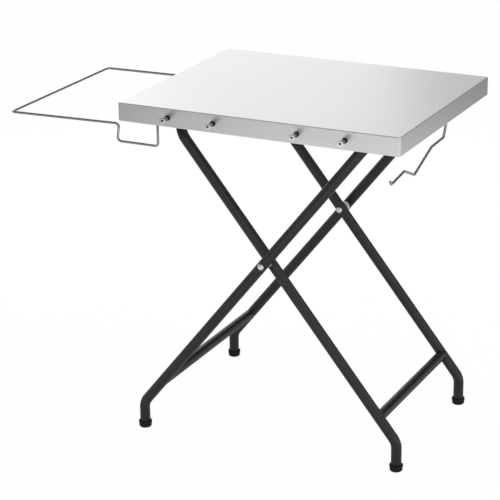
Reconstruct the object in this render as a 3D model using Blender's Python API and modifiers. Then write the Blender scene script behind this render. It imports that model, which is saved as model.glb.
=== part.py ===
"""Folding grill table: a stainless tray on a folding X frame of black tube, with two wire holders.

Metres, +Z up. The table's own axes are worked from the floor point under the middle of the tray:
X runs along the front from left to right, -Y is the front with the tool pegs.
"""
import bmesh
import bpy
from math import atan2
from math import cos
from math import hypot
from math import pi
from math import radians
from math import sin
from math import tan
from mathutils import Matrix
from mathutils import Vector

# Tray top
TOP_LENGTH = 0.700
TOP_DEPTH = 0.560
TOP_HEIGHT = 0.832
SHEET = 0.0010
FLANGE = 0.044
LIP = 0.010
CORNER_RADIUS = 0.0035
EDGE_RADIUS = 0.0022

# Clearances
GAP = 0.0003
BAR_UNDER_FLANGE = 0.003
HOLE_PLAY = 0.0004
CLIP_PLAY = 0.0005

# Leg frames
TUBE_DIAMETER = 0.025
TUBE_WALL = 0.0012
PIVOT_HEIGHT = 0.473
HINGE_REACH = 0.2404
INNER_HALF_WIDTH = 0.206
SPACER_THICKNESS = 0.011
OUTER_FOOT_BEND_HEIGHT = 0.0656
INNER_FOOT_BEND_HEIGHT = 0.0706
OUTER_CROSSBAR_UP_LEG = 0.083
INNER_CROSSBAR_UP_LEG = 0.072
TOP_BEND_RADIUS = 0.045
FOOT_BEND_RADIUS = 0.040
TUBE_OVERRUN = 0.014

# Foot caps
CAP_HEIGHT = 0.0165
CAP_SKIRT = 0.0034
CAP_PAD = 0.005

# X pivots
BOLT_DIAMETER = 0.008
BOLT_HEAD_DIAMETER = 0.0155
BOLT_HEAD_HEIGHT = 0.0045
NUT_COLLAR = 0.003
SPACER_DIAMETER = 0.024

# Hinge, stiffeners and catch under the sheet
STIFFENER_LENGTH = 0.600
STIFFENER_WIDTH = 0.030
STIFFENER_DEPTH = 0.015
STIFFENER_BRIM = 0.012
STIFFENER_HALF_SPACING = 0.120
HINGE_ROD_DIAMETER = 0.012
BRACKET_LENGTH = 0.030
BRACKET_SPAN = 0.026
BRACKET_PLATE = 0.0025
CLIP_WIDTH = 0.028
CLIP_WALL = 0.005
CLIP_OVERHANG = 0.010

# Tool pegs
PEG_PLACES = (-0.220, -0.104, 0.104, 0.220)
PEG_LENGTH = 0.026
PEG_KNOB_DIAMETER = 0.0135
PEG_SHANK_DIAMETER = 0.0095
PEG_COLLAR_DIAMETER = 0.0128
PEG_COLLAR_THICKNESS = 0.0035
PEG_HOLE_DIAMETER = 0.0046
PEG_HOLE_DEPTH = 0.006
PEG_SCREW_DIAMETER = 0.005
PEG_NUT_WIDTH = 0.008
PEG_NUT_HEIGHT = 0.004

# Wire holders
WIRE_DIAMETER = 0.006
WIRE_BEND_RADIUS = 0.009
SOCKET_LENGTH = 0.034
SOCKET_WALL = 0.003
SOCKET_BRIM = 0.006
SOCKET_BASE = 0.002
SOCKET_PLAY = 0.0004
BAG_REACH = 0.328
BAG_ARM_DROP = 0.0690
BAG_SAG = 0.0045
BAG_SPLAY = 0.0045
BAG_DIP_DROP = 0.1120
BAG_DIP_OUT = 0.0375
BAG_DIP_LEAN = 0.0060
BAG_END_INSET = 0.072
PAPER_INSET = 0.017
PAPER_END_PLACE = 0.0423
PAPER_STUB_DROP = 0.058
PAPER_BENDS = ((0.0132, 0.0848), (0.0898, 0.0869), (0.1931, 0.1231),
               (0.2535, 0.0973), (0.3276, 0.1058), (0.3358, 0.0955))

# Facets
TUBE_RESOLUTION = 6
WIRE_RESOLUTION = 3
ROUND_STEPS = 20
ARC_STEPS = 5

# Worked out from the sizes above
TUBE_RADIUS = TUBE_DIAMETER / 2
WIRE_RADIUS = WIRE_DIAMETER / 2
SHEET_UNDERSIDE = TOP_HEIGHT - SHEET - GAP
BAR_HEIGHT = TOP_HEIGHT - FLANGE - BAR_UNDER_FLANGE - TUBE_RADIUS
OUTER_HALF_WIDTH = INNER_HALF_WIDTH + TUBE_DIAMETER + SPACER_THICKNESS
ARM_HALF_WIDTH = (INNER_HALF_WIDTH + OUTER_HALF_WIDTH) / 2
LEG_ANGLE = atan2(BAR_HEIGHT - PIVOT_HEIGHT, HINGE_REACH)
LEG_UP = hypot(HINGE_REACH, BAR_HEIGHT - PIVOT_HEIGHT)
OUTER_FOOT_REACH = (PIVOT_HEIGHT - OUTER_FOOT_BEND_HEIGHT) / tan(LEG_ANGLE)
INNER_FOOT_REACH = (PIVOT_HEIGHT - INNER_FOOT_BEND_HEIGHT) / tan(LEG_ANGLE)
STIFFENER_UNDERSIDE = SHEET_UNDERSIDE - STIFFENER_DEPTH - SHEET
LEFT_END = -TOP_LENGTH / 2
RIGHT_END = TOP_LENGTH / 2
FRONT = -TOP_DEPTH / 2
FAR_LEFT = LEFT_END - BAG_REACH - WIRE_RADIUS
FAR_FRONT = FRONT - PEG_LENGTH
HINGE = Vector((HINGE_REACH, 0, BAR_HEIGHT))
CATCH = Vector((-HINGE_REACH, 0, BAR_HEIGHT))
PIVOT = Vector((0, 0, PIVOT_HEIGHT))
PAPER_AXIS = Vector((RIGHT_END - PAPER_INSET, PAPER_END_PLACE, SHEET_UNDERSIDE))
BAG_AXIS = Vector((LEFT_END + BAG_END_INSET, 0, SHEET_UNDERSIDE))
SIDES = (("front", -1), ("back", 1))

for old in list(bpy.data.objects):
    bpy.data.objects.remove(old, do_unlink=True)


def new_collection(name):
    collection = bpy.data.collections.new(name)
    bpy.context.scene.collection.children.link(collection)
    return collection


PARTS = new_collection("folding_grill_table")
CUTTERS = new_collection("cutters")


def material(name, colour, roughness, metallic):
    made = bpy.data.materials.new(name)
    made.use_nodes = True
    shader = made.node_tree.nodes["Principled BSDF"]
    shader.inputs["Base Color"].default_value = (*colour, 1)
    shader.inputs["Roughness"].default_value = roughness
    shader.inputs["Metallic"].default_value = metallic
    return made


STAINLESS = material("stainless_sheet", (0.62, 0.62, 0.61), 0.35, 1.0)
BLACK_TUBE = material("black_tube", (0.025, 0.025, 0.027), 0.45, 0.0)
BRIGHT_STEEL = material("bright_steel", (0.70, 0.70, 0.70), 0.22, 1.0)
WIRE_STEEL = material("wire_steel", (0.55, 0.55, 0.55), 0.28, 1.0)
ZINC_STEEL = material("zinc_steel", (0.50, 0.51, 0.52), 0.40, 1.0)
BLACK_RUBBER = material("black_rubber", (0.02, 0.02, 0.02), 0.80, 0.0)
BLACK_NYLON = material("black_nylon", (0.03, 0.03, 0.03), 0.55, 0.0)
WHITE_NYLON = material("white_nylon", (0.85, 0.85, 0.84), 0.45, 0.0)


PLACES = {}


def empty(name, place, parent=None):
    """An empty on a body's axis, at a place in the table's axes."""
    made = bpy.data.objects.new(name, None)
    made.empty_display_size = 0.03
    PARTS.objects.link(made)
    made.parent = parent
    made.location = place - PLACES[parent.name] if parent else place
    PLACES[name] = place if parent else Vector((0, 0, 0))
    return made


def hang(obj, holder):
    """Puts an object modelled in the table's axes on a body's empty."""
    obj.parent = holder
    obj.matrix_parent_inverse = Matrix.Translation(-PLACES[holder.name])


def add(obj, holder, finish, smooth=True):
    """Adds a finished piece to its body."""
    PARTS.objects.link(obj)
    hang(obj, holder)
    obj.data.materials.clear()
    obj.data.materials.append(finish)
    if smooth and obj.type == "MESH":
        obj.data.shade_smooth()
        obj.data.set_sharp_from_angle(angle=radians(35))
    return obj


def rounded(points, radius, steps=ARC_STEPS):
    """Replaces each inner corner of a path with an arc of the bend radius."""
    path = [Vector(points[0])]
    for before, corner, after in zip(points, points[1:], points[2:]):
        corner = Vector(corner)
        way_in = (Vector(before) - corner).normalized()
        way_out = (Vector(after) - corner).normalized()
        half = way_in.angle(way_out) / 2
        setback = radius / tan(half)
        middle = corner + (way_in + way_out).normalized() * (radius / sin(half))
        start = corner + way_in * setback - middle
        across = corner + way_out * setback - middle
        turn = pi - 2 * half
        side = (across - start * cos(turn)) / sin(turn)
        for k in range(steps + 1):
            angle = turn * k / steps
            path.append(middle + start * cos(angle) + side * sin(angle))
    path.append(Vector(points[-1]))
    return path


def swept(name, path, radius, resolution, capped):
    """A round bar along a path."""
    curve = bpy.data.curves.new(name, "CURVE")
    curve.dimensions = "3D"
    curve.bevel_depth = radius
    curve.bevel_resolution = resolution
    curve.use_fill_caps = capped
    spline = curve.splines.new("POLY")
    spline.points.add(len(path) - 1)
    for point, place in zip(spline.points, path):
        point.co = (*place, 1)
    return bpy.data.objects.new(name, curve)


def as_mesh(obj):
    """Makes a curve object a mesh object with its loose caps welded."""
    bpy.context.scene.collection.objects.link(obj)
    bpy.context.view_layer.update()
    shape = bpy.data.meshes.new_from_object(obj.evaluated_get(bpy.context.evaluated_depsgraph_get()))
    name = obj.name
    place = obj.matrix_world.copy()
    bpy.data.objects.remove(obj, do_unlink=True)
    work = bmesh.new()
    work.from_mesh(shape)
    bmesh.ops.remove_doubles(work, verts=work.verts, dist=0.00001)
    work.to_mesh(shape)
    work.free()
    made = bpy.data.objects.new(name, shape)
    made.matrix_world = place
    return made


def thickened(obj, thickness):
    """Turns an open surface into a wall of this thickness, inwards from its faces."""
    wall = obj.modifiers.new("wall", "SOLIDIFY")
    wall.thickness = thickness
    wall.offset = -1
    wall.use_even_offset = True
    return obj


def tube(name, path):
    """A hollow leg tube along a path, open at its ends."""
    return thickened(as_mesh(swept(name, path, TUBE_RADIUS, TUBE_RESOLUTION, False)), TUBE_WALL)


def wire(name, path):
    return swept(name, path, WIRE_RADIUS, WIRE_RESOLUTION, True)


def turned(name, profile, place, rotation=(0, 0, 0)):
    """A round piece from a profile of (radius, height) points that runs down its outer side."""
    shape = bpy.data.meshes.new(name)
    shape.from_pydata([(r, 0, h) for r, h in profile], [(k, k + 1) for k in range(len(profile) - 1)], [])
    made = bpy.data.objects.new(name, shape)
    made.location = place
    made.rotation_euler = rotation
    spin = made.modifiers.new("turn", "SCREW")
    spin.steps = ROUND_STEPS
    spin.render_steps = ROUND_STEPS
    spin.use_merge_vertices = True
    spin.merge_threshold = 0.00001
    return made


def flat(name, outlines, thickness):
    """A plate in the XZ plane, its first outline the rim and any others holes, centred on its thickness."""
    curve = bpy.data.curves.new(name, "CURVE")
    curve.dimensions = "2D"
    curve.fill_mode = "BOTH"
    curve.extrude = thickness / 2
    for outline in outlines:
        spline = curve.splines.new("POLY")
        spline.points.add(len(outline) - 1)
        spline.use_cyclic_u = True
        for point, (x, z) in zip(spline.points, outline):
            point.co = (x, z, 0, 1)
    made = bpy.data.objects.new(name, curve)
    made.rotation_euler = (pi / 2, 0, 0)
    return made


def arc(centre_x, centre_z, radius, start, end, steps=ROUND_STEPS // 2):
    """Points on an arc in the XZ plane, between two angles in degrees."""
    turns = [radians(start + (end - start) * k / steps) for k in range(steps + 1)]
    return [(centre_x + radius * cos(a), centre_z + radius * sin(a)) for a in turns]


def cylinder(name, radius, length, place, direction, steps=ROUND_STEPS):
    shape = bpy.data.meshes.new(name)
    work = bmesh.new()
    bmesh.ops.create_cone(work, cap_ends=True, segments=steps, radius1=radius, radius2=radius, depth=length)
    work.to_mesh(shape)
    work.free()
    made = bpy.data.objects.new(name, shape)
    made.location = place
    made.rotation_euler = Vector(direction).to_track_quat("Z", "Y").to_euler()
    return made


def cut(obj, cutter, holder):
    """Cuts a hole or a cope in a piece, with the cutter kept on the same body."""
    CUTTERS.objects.link(cutter)
    hang(cutter, holder)
    cutter.hide_render = True
    cutter.display_type = "WIRE"
    boolean = obj.modifiers.new(cutter.name, "BOOLEAN")
    boolean.operation = "DIFFERENCE"
    boolean.object = cutter
    return obj


def folded_strip(name, profile, x_low, x_high, thickness):
    """A strip of sheet along X, bent to a profile of (y, z) points that is its upper side."""
    shape = bpy.data.meshes.new(name)
    work = bmesh.new()
    low = [work.verts.new((x_low, y, z)) for y, z in profile]
    high = [work.verts.new((x_high, y, z)) for y, z in profile]
    for k in range(len(profile) - 1):
        work.faces.new((low[k], high[k], high[k + 1], low[k + 1]))
    work.to_mesh(shape)
    work.free()
    return thickened(bpy.data.objects.new(name, shape), thickness)


def leg_point(side, distance, half_width):
    """A point this far up a leg from the X pivot; side is +1 on the leg that rises to the right."""
    return PIVOT + Vector((side * distance * cos(LEG_ANGLE), half_width, distance * sin(LEG_ANGLE)))


def foot_bend(side, reach, half_width):
    """The corner where a leg's slope meets its upright foot."""
    return Vector((-side * reach, half_width, PIVOT_HEIGHT - reach * tan(LEG_ANGLE)))


# The bodies' empties: the tray is the root, and each moving body turns or slides at its own empty.
TABLE = empty("table", Vector((-(FAR_LEFT + RIGHT_END) / 2, -(FAR_FRONT - FRONT) / 2, 0)))
OUTER = empty("hinge_axis", HINGE, TABLE)
INNER = empty("pivot_axis", PIVOT, OUTER)
BAG = empty("bag_holder_axis", BAG_AXIS, TABLE)
PAPER = empty("paper_holder_axis", PAPER_AXIS, TABLE)


def tray_ring(inset, drop):
    """A ring of the tray's rounded outline, this far in from its sides and below its top."""
    radius = max(CORNER_RADIUS - inset, SHEET)
    reach_x = TOP_LENGTH / 2 - inset - radius
    reach_y = TOP_DEPTH / 2 - inset - radius
    ring = []
    for quarter, (sign_x, sign_y) in enumerate(((1, 1), (-1, 1), (-1, -1), (1, -1))):
        for k in range(ARC_STEPS + 1):
            angle = pi / 2 * (quarter + k / ARC_STEPS)
            ring.append((sign_x * reach_x + radius * cos(angle), sign_y * reach_y + radius * sin(angle),
                         TOP_HEIGHT - drop))
    return ring


def tray():
    """The worktop: one sheet with its sides bent down and a lip bent back in under them."""
    turns = [pi / 2 * k / 3 for k in range(4)]
    section = [(EDGE_RADIUS * (1 - sin(a)), EDGE_RADIUS * (1 - cos(a))) for a in turns]
    section += [(inset, FLANGE - drop) for inset, drop in reversed(section)]
    section.append((LIP, FLANGE))
    shape = bpy.data.meshes.new("tray_top")
    work = bmesh.new()
    rings = [[work.verts.new(place) for place in tray_ring(inset, drop)] for inset, drop in section]
    work.faces.new(rings[0])
    count = len(rings[0])
    for upper, lower in zip(rings, rings[1:]):
        for k in range(count):
            work.faces.new((upper[k], lower[k], lower[(k + 1) % count], upper[(k + 1) % count]))
    work.to_mesh(shape)
    work.free()
    made = thickened(bpy.data.objects.new("tray_top", shape), SHEET)
    for k, x in enumerate(PEG_PLACES, 1):
        hole = cylinder(f"peg_hole_{k}", PEG_SCREW_DIAMETER / 2 + HOLE_PLAY, 4 * LIP,
                        (x, FRONT, TOP_HEIGHT - FLANGE / 2), (0, 1, 0))
        cut(made, hole, TABLE)
    return add(made, TABLE, STAINLESS)


def stiffener(where, side):
    """A hat-section rail under the sheet that carries the hinge bracket and the catch."""
    middle = side * STIFFENER_HALF_SPACING
    half = STIFFENER_WIDTH / 2
    floor = SHEET_UNDERSIDE - STIFFENER_DEPTH
    profile = [(middle - half - STIFFENER_BRIM, SHEET_UNDERSIDE), (middle - half, SHEET_UNDERSIDE),
               (middle - half, floor), (middle + half, floor),
               (middle + half, SHEET_UNDERSIDE), (middle + half + STIFFENER_BRIM, SHEET_UNDERSIDE)]
    made = folded_strip(f"stiffener_{where}", profile, -STIFFENER_LENGTH / 2, STIFFENER_LENGTH / 2, SHEET)
    return add(made, TABLE, ZINC_STEEL, smooth=False)


def hinge_bracket(where, side):
    """An inverted U of plate under the stiffener, with a hole in each ear for the hinge rod."""
    middle = side * STIFFENER_HALF_SPACING
    top = STIFFENER_UNDERSIDE - GAP
    foot = BAR_HEIGHT - BRACKET_LENGTH / 2
    half = BRACKET_SPAN / 2
    profile = [(middle - half, foot), (middle - half, top), (middle + half, top), (middle + half, foot)]
    made = folded_strip(f"hinge_bracket_{where}", profile, HINGE.x - BRACKET_LENGTH / 2,
                        HINGE.x + BRACKET_LENGTH / 2, BRACKET_PLATE)
    hole = cylinder(f"hinge_hole_{where}", HINGE_ROD_DIAMETER / 2 + HOLE_PLAY, 2 * BRACKET_SPAN,
                    (HINGE.x, middle, HINGE.z), (0, 1, 0))
    cut(made, hole, TABLE)
    corner = BRACKET_LENGTH / 2
    for end in (-1, 1):
        outline = [(HINGE.x + end * corner * 2, HINGE.z), (HINGE.x + end * corner * 2, foot - corner),
                   (HINGE.x, foot - corner)]
        outline += arc(HINGE.x, HINGE.z, corner, 270, 270 + end * 90)
        name = f"ear_trim_{where}_{'left' if end < 0 else 'right'}"
        trim = as_mesh(flat(name, [outline], 2 * BRACKET_SPAN))
        trim.location.y = middle
        cut(made, trim, TABLE)
    return add(made, TABLE, ZINC_STEEL, smooth=False)


def bar_clip(where, side):
    """A moulded clip under the stiffener: the frame's bar lies in its slot, which opens to the left."""
    top = STIFFENER_UNDERSIDE - GAP
    slot = TUBE_RADIUS + CLIP_PLAY
    left = CATCH.x - CLIP_OVERHANG
    right = CATCH.x + slot + CLIP_WALL
    floor = CATCH.z - slot - CLIP_WALL
    outline = [(left, top), (left, CATCH.z + slot)]
    outline += arc(CATCH.x, CATCH.z, slot, 90, -90)
    outline += [(left, CATCH.z - slot), (left, floor)]
    outline += arc(CATCH.x, CATCH.z, slot + CLIP_WALL, -90, 0)
    outline.append((right, top))
    made = as_mesh(flat(f"bar_clip_{where}", [outline], CLIP_WIDTH))
    made.location.y = side * STIFFENER_HALF_SPACING
    return add(made, TABLE, BLACK_NYLON, smooth=False)


def peg(number, x):
    """A turned tool peg: flared end with a blind hole, shank and a screw end that passes through the flange."""
    knob = PEG_KNOB_DIAMETER / 2
    shank = PEG_SHANK_DIAMETER / 2
    hole = PEG_HOLE_DIAMETER / 2
    screw = PEG_SCREW_DIAMETER / 2
    rim = (knob - shank) / 2
    shoulder = PEG_COLLAR_THICKNESS + 2 * GAP
    profile = [(0, PEG_LENGTH - PEG_HOLE_DEPTH), (hole, PEG_LENGTH - PEG_HOLE_DEPTH), (hole, PEG_LENGTH),
               (knob - rim / 2, PEG_LENGTH), (knob, PEG_LENGTH - rim / 2), (knob, PEG_LENGTH - 2 * rim),
               (shank, PEG_LENGTH - 2 * rim - knob + shank), (shank, shoulder), (screw, shoulder),
               (screw, -SHEET - PEG_NUT_HEIGHT - 2 * GAP), (0, -SHEET - PEG_NUT_HEIGHT - 2 * GAP)]
    made = turned(f"peg_{number}", profile, (x, FRONT, TOP_HEIGHT - FLANGE / 2), (pi / 2, 0, 0))
    return add(made, TABLE, BRIGHT_STEEL)


def peg_collar(number, x):
    """A black ring on the peg's screw, held between its shank and the flange."""
    bore = PEG_SCREW_DIAMETER / 2 + GAP
    ring = PEG_COLLAR_DIAMETER / 2
    top = PEG_COLLAR_THICKNESS + GAP
    profile = [(bore, GAP), (bore, top), (ring, top), (ring, GAP), (bore, GAP)]
    made = turned(f"peg_collar_{number}", profile, (x, FRONT, TOP_HEIGHT - FLANGE / 2), (pi / 2, 0, 0))
    return add(made, TABLE, BLACK_NYLON)


def peg_nut(number, x):
    middle = FRONT + SHEET + GAP + PEG_NUT_HEIGHT / 2
    place = (x, middle, TOP_HEIGHT - FLANGE / 2)
    made = cylinder(f"peg_nut_{number}", PEG_NUT_WIDTH / 3 ** 0.5, PEG_NUT_HEIGHT, place, (0, 1, 0), 6)
    bore = cylinder(f"peg_nut_bore_{number}", PEG_SCREW_DIAMETER / 2 + GAP, 2 * PEG_NUT_HEIGHT, place,
                    (0, 1, 0))
    cut(made, bore, TABLE)
    return add(made, TABLE, ZINC_STEEL, smooth=False)


def wire_socket(name, place):
    """A blind upright socket on a round base under the sheet, for the end of a wire."""
    bore = WIRE_RADIUS + SOCKET_PLAY
    body = bore + SOCKET_WALL
    brim = body + SOCKET_BRIM
    profile = [(0, 0), (brim, 0), (brim, -SOCKET_BASE), (body, -SOCKET_BASE), (body, -SOCKET_LENGTH),
               (bore, -SOCKET_LENGTH), (bore, -2 * SOCKET_BASE), (0, -2 * SOCKET_BASE)]
    made = turned(name, profile, place)
    return add(made, TABLE, ZINC_STEEL)


def outer_leg(where, side):
    """A tube of the outer frame, from just past the hinge rod down to its upright foot at the left."""
    y = side * OUTER_HALF_WIDTH
    path = [leg_point(1, LEG_UP + TUBE_OVERRUN, y), foot_bend(1, OUTER_FOOT_REACH, y),
            Vector((-OUTER_FOOT_REACH, y, CAP_PAD + GAP))]
    made = tube(f"outer_leg_{where}", rounded(path, FOOT_BEND_RADIUS))
    cut(made, pivot_hole(f"outer_pivot_hole_{where}", y), OUTER)
    return add(made, OUTER, BLACK_TUBE)


def pivot_hole(name, y):
    return cylinder(name, BOLT_DIAMETER / 2 + HOLE_PLAY, 2 * TUBE_DIAMETER, (0, y, PIVOT_HEIGHT), (0, 1, 0))


def inner_frame():
    """The inner frame: one tube up from the front foot, across under the tray and down to the back foot."""
    feet = [[Vector((INNER_FOOT_REACH, side * INNER_HALF_WIDTH, CAP_PAD + GAP)),
             foot_bend(-1, INNER_FOOT_REACH, side * INNER_HALF_WIDTH)] for side in (-1, 1)]
    tops = [leg_point(-1, LEG_UP, side * INNER_HALF_WIDTH) for side in (-1, 1)]
    front = rounded([*feet[0], tops[0]], FOOT_BEND_RADIUS)[:-1]
    back = rounded([*feet[1], tops[1]], FOOT_BEND_RADIUS)[:-1]
    across = rounded([front[-1], *tops, back[-1]], TOP_BEND_RADIUS)[1:-1]
    made = tube("inner_frame_tube", front + across + back[::-1])
    for where, side in SIDES:
        cut(made, pivot_hole(f"inner_pivot_hole_{where}", side * INNER_HALF_WIDTH), INNER)
    return add(made, INNER, BLACK_TUBE)


def cope(made, middle, leg_side, half_width, holder):
    """Shapes both ends of a bar to the round of the legs that it is welded between."""
    for where, side in SIDES:
        leg = cylinder(f"{made.name}_cope_{where}", TUBE_RADIUS + GAP, 8 * TUBE_DIAMETER,
                       (middle.x, side * half_width, middle.z),
                       (leg_side * cos(LEG_ANGLE), 0, sin(LEG_ANGLE)), 2 * ROUND_STEPS)
        cut(made, leg, holder)


def crossbar(name, leg_side, reach, up_leg, half_width, holder):
    """A tube welded between two legs, this far up them from their foot bends."""
    ends = [leg_point(leg_side, up_leg - reach / cos(LEG_ANGLE), side * half_width) for side in (-1, 1)]
    made = tube(name, ends)
    cope(made, ends[0], leg_side, half_width, holder)
    return add(made, holder, BLACK_TUBE)


def hinge_rod():
    """The rod welded between the tops of the outer legs, which turns in the two brackets."""
    made = cylinder("hinge_rod", HINGE_ROD_DIAMETER / 2, 2 * OUTER_HALF_WIDTH, HINGE, (0, 1, 0))
    cope(made, HINGE, 1, OUTER_HALF_WIDTH, OUTER)
    return add(made, OUTER, BLACK_TUBE)


def tube_plug(where, side):
    """A domed plastic plug in the open top end of an outer leg."""
    spigot = TUBE_RADIUS - TUBE_WALL - 2 * GAP
    rim = TUBE_WALL
    profile = [(0, 2 * rim), (TUBE_RADIUS / 2, 1.8 * rim), (TUBE_RADIUS - rim / 2, rim),
               (TUBE_RADIUS, rim / 2), (TUBE_RADIUS, GAP), (spigot, GAP), (spigot, -TUBE_OVERRUN / 2),
               (0, -TUBE_OVERRUN / 2)]
    made = turned(f"tube_plug_{where}", profile, leg_point(1, LEG_UP + TUBE_OVERRUN, side * OUTER_HALF_WIDTH),
                  (0, pi / 2 - LEG_ANGLE, 0))
    return add(made, OUTER, BLACK_NYLON)


def foot_cap(where, place, holder):
    """A rubber cup over a foot, with a rim wider than its rounded base."""
    bore = TUBE_RADIUS + GAP
    rim = bore + CAP_SKIRT
    round_off = CAP_SKIRT * 0.9
    profile = [(0, CAP_PAD), (bore, CAP_PAD), (bore, CAP_HEIGHT), (rim - CAP_SKIRT / 4, CAP_HEIGHT),
               (rim, CAP_HEIGHT - CAP_SKIRT / 4), (rim, CAP_HEIGHT * 0.7),
               (rim - CAP_SKIRT / 4, CAP_HEIGHT * 0.55),
               (rim - CAP_SKIRT / 4, round_off)]
    profile += [(rim - CAP_SKIRT / 4 - round_off * (1 - cos(a)), round_off * (1 - sin(a)))
                for a in (radians(30), radians(60), radians(90))]
    profile.append((0, 0))
    made = turned(f"foot_cap_{where}", profile, place)
    return add(made, holder, BLACK_RUBBER)


def dome(radius, height, base, steps=4):
    """The upper side of a low dome, from its crown to its edge."""
    turns = [pi / 2 * k / steps for k in range(steps + 1)]
    return [(radius * sin(a), base + height * cos(a)) for a in turns]


def pivot(where, side):
    """An X pivot: a domed bolt from the outside, a spacer between the tubes and a domed nut inside."""
    outside = OUTER_HALF_WIDTH + TUBE_RADIUS
    inside = INNER_HALF_WIDTH - TUBE_RADIUS
    shank = BOLT_DIAMETER / 2
    head = BOLT_HEAD_DIAMETER / 2
    tip = inside - outside - NUT_COLLAR
    rotation = (side * -pi / 2, 0, 0)
    profile = dome(head, BOLT_HEAD_HEIGHT, GAP) + [(shank, GAP), (shank, tip), (0, tip)]
    bolt = turned(f"pivot_bolt_{where}", profile, (0, side * outside, PIVOT_HEIGHT), rotation)
    add(bolt, OUTER, BRIGHT_STEEL)
    crown = dome(head, BOLT_HEAD_HEIGHT, NUT_COLLAR)
    bore = shank + GAP
    profile = crown + [(head, GAP), (bore, GAP), (bore, NUT_COLLAR + GAP), (0, NUT_COLLAR + GAP)]
    nut = turned(f"pivot_nut_{where}", profile, (0, side * inside, PIVOT_HEIGHT), (side * pi / 2, 0, 0))
    add(nut, OUTER, BRIGHT_STEEL)
    half = SPACER_THICKNESS / 2 - GAP
    ring = SPACER_DIAMETER / 2
    bore = shank + HOLE_PLAY
    profile = [(bore, -half), (bore, half), (ring, half), (ring, -half), (bore, -half)]
    spacer = turned(f"pivot_spacer_{where}", profile, (0, side * ARM_HALF_WIDTH, PIVOT_HEIGHT), rotation)
    return add(spacer, OUTER, WHITE_NYLON)


def bag_holder():
    """A wire loop at the left whose arms dip under the tray's flange and rise into two sockets."""
    end_x = BAG_AXIS.x
    top = SHEET_UNDERSIDE - 2 * SOCKET_BASE - GAP
    dip = TOP_HEIGHT - BAG_DIP_DROP
    arm = TOP_HEIGHT - BAG_ARM_DROP
    rise_x = LEFT_END - BAG_DIP_OUT
    far_x = LEFT_END - BAG_REACH
    far_z = arm - BAG_SAG
    half_path = [(end_x, top), (end_x, dip), (rise_x, dip), (rise_x + BAG_DIP_LEAN, arm)]
    far_half = ARM_HALF_WIDTH + BAG_SPLAY
    front = [Vector((x, -ARM_HALF_WIDTH, z)) for x, z in half_path] + [Vector((far_x, -far_half, far_z))]
    back = [Vector((x, -y, z)) for x, y, z in reversed(front)]
    made = wire("bag_holder", rounded(front + back, WIRE_BEND_RADIUS))
    return add(made, BAG, WIRE_STEEL)


def paper_holder():
    """One wire down from its socket and forwards under the right flange, kinked and hooked at its end."""
    x = PAPER_AXIS.x
    path = [Vector((x, PAPER_END_PLACE, SHEET_UNDERSIDE - 2 * SOCKET_BASE - GAP)),
            Vector((x, PAPER_END_PLACE, TOP_HEIGHT - PAPER_STUB_DROP))]
    path += [Vector((x, PAPER_END_PLACE - run, TOP_HEIGHT - drop)) for run, drop in PAPER_BENDS]
    made = wire("paper_holder", rounded(path, WIRE_DIAMETER * 0.8, 4))
    return add(made, PAPER, WIRE_STEEL)


tray()
for where, side in SIDES:
    stiffener(where, side)
    hinge_bracket(where, side)
    bar_clip(where, side)
    wire_socket(f"bag_socket_{where}", (BAG_AXIS.x, side * ARM_HALF_WIDTH, SHEET_UNDERSIDE))
    outer_leg(where, side)
    tube_plug(where, side)
    pivot(where, side)
    foot_cap(f"outer_{where}", (-OUTER_FOOT_REACH, side * OUTER_HALF_WIDTH, 0), OUTER)
    foot_cap(f"inner_{where}", (INNER_FOOT_REACH, side * INNER_HALF_WIDTH, 0), INNER)
wire_socket("paper_socket", PAPER_AXIS)
for number, x in enumerate(PEG_PLACES, 1):
    peg(number, x)
    peg_collar(number, x)
    peg_nut(number, x)
hinge_rod()
crossbar("outer_crossbar", 1, OUTER_FOOT_REACH, OUTER_CROSSBAR_UP_LEG, OUTER_HALF_WIDTH, OUTER)
inner_frame()
crossbar("inner_crossbar", -1, INNER_FOOT_REACH, INNER_CROSSBAR_UP_LEG, INNER_HALF_WIDTH, INNER)
bag_holder()
paper_holder()
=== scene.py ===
from math import atan2
from math import cos
from math import hypot
from math import pi
from math import radians
from math import sin
from math import sqrt
from math import tan

import bmesh
import bpy
from mathutils import Matrix
from mathutils import Vector


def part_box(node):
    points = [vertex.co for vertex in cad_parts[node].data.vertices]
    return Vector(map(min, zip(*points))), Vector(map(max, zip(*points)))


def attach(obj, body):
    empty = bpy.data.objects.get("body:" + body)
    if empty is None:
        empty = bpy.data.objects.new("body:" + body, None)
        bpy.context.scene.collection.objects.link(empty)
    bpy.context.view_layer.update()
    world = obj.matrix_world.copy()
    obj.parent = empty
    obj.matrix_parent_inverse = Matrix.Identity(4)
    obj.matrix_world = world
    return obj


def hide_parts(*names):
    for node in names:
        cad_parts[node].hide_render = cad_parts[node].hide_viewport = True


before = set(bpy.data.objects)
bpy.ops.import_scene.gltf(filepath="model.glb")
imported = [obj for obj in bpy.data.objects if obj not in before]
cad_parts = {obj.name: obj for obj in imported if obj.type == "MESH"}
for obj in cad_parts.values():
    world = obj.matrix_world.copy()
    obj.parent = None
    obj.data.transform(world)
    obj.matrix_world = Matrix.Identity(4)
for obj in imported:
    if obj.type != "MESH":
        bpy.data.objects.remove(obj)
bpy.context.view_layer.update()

# Tray top
# The worktop is one sheet of satin stainless steel. Its four sides are bent down, a narrow lip is bent
# back in under them, and the corners are closed and ground smooth. Four holes in front take the pegs.
tray_low, tray_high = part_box("tray_top")
MIDDLE = (tray_low + tray_high) / 2
TOP = tray_high.z
LENGTH = tray_high.x - tray_low.x
DEPTH = tray_high.y - tray_low.y
FLANGE = tray_high.z - tray_low.z
SHEET = 0.001
LIP = 0.010
CORNER_RADIUS = 0.0045
EDGE_RADIUS = 0.0016
EDGE_HOLD = 0.0004
CORNER_STEPS = 10
BEND_STEPS = 7
PEG_PLACES = (-0.220, -0.104, 0.104, 0.220)
PEG_HOLE_RADIUS = 0.0029
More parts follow.
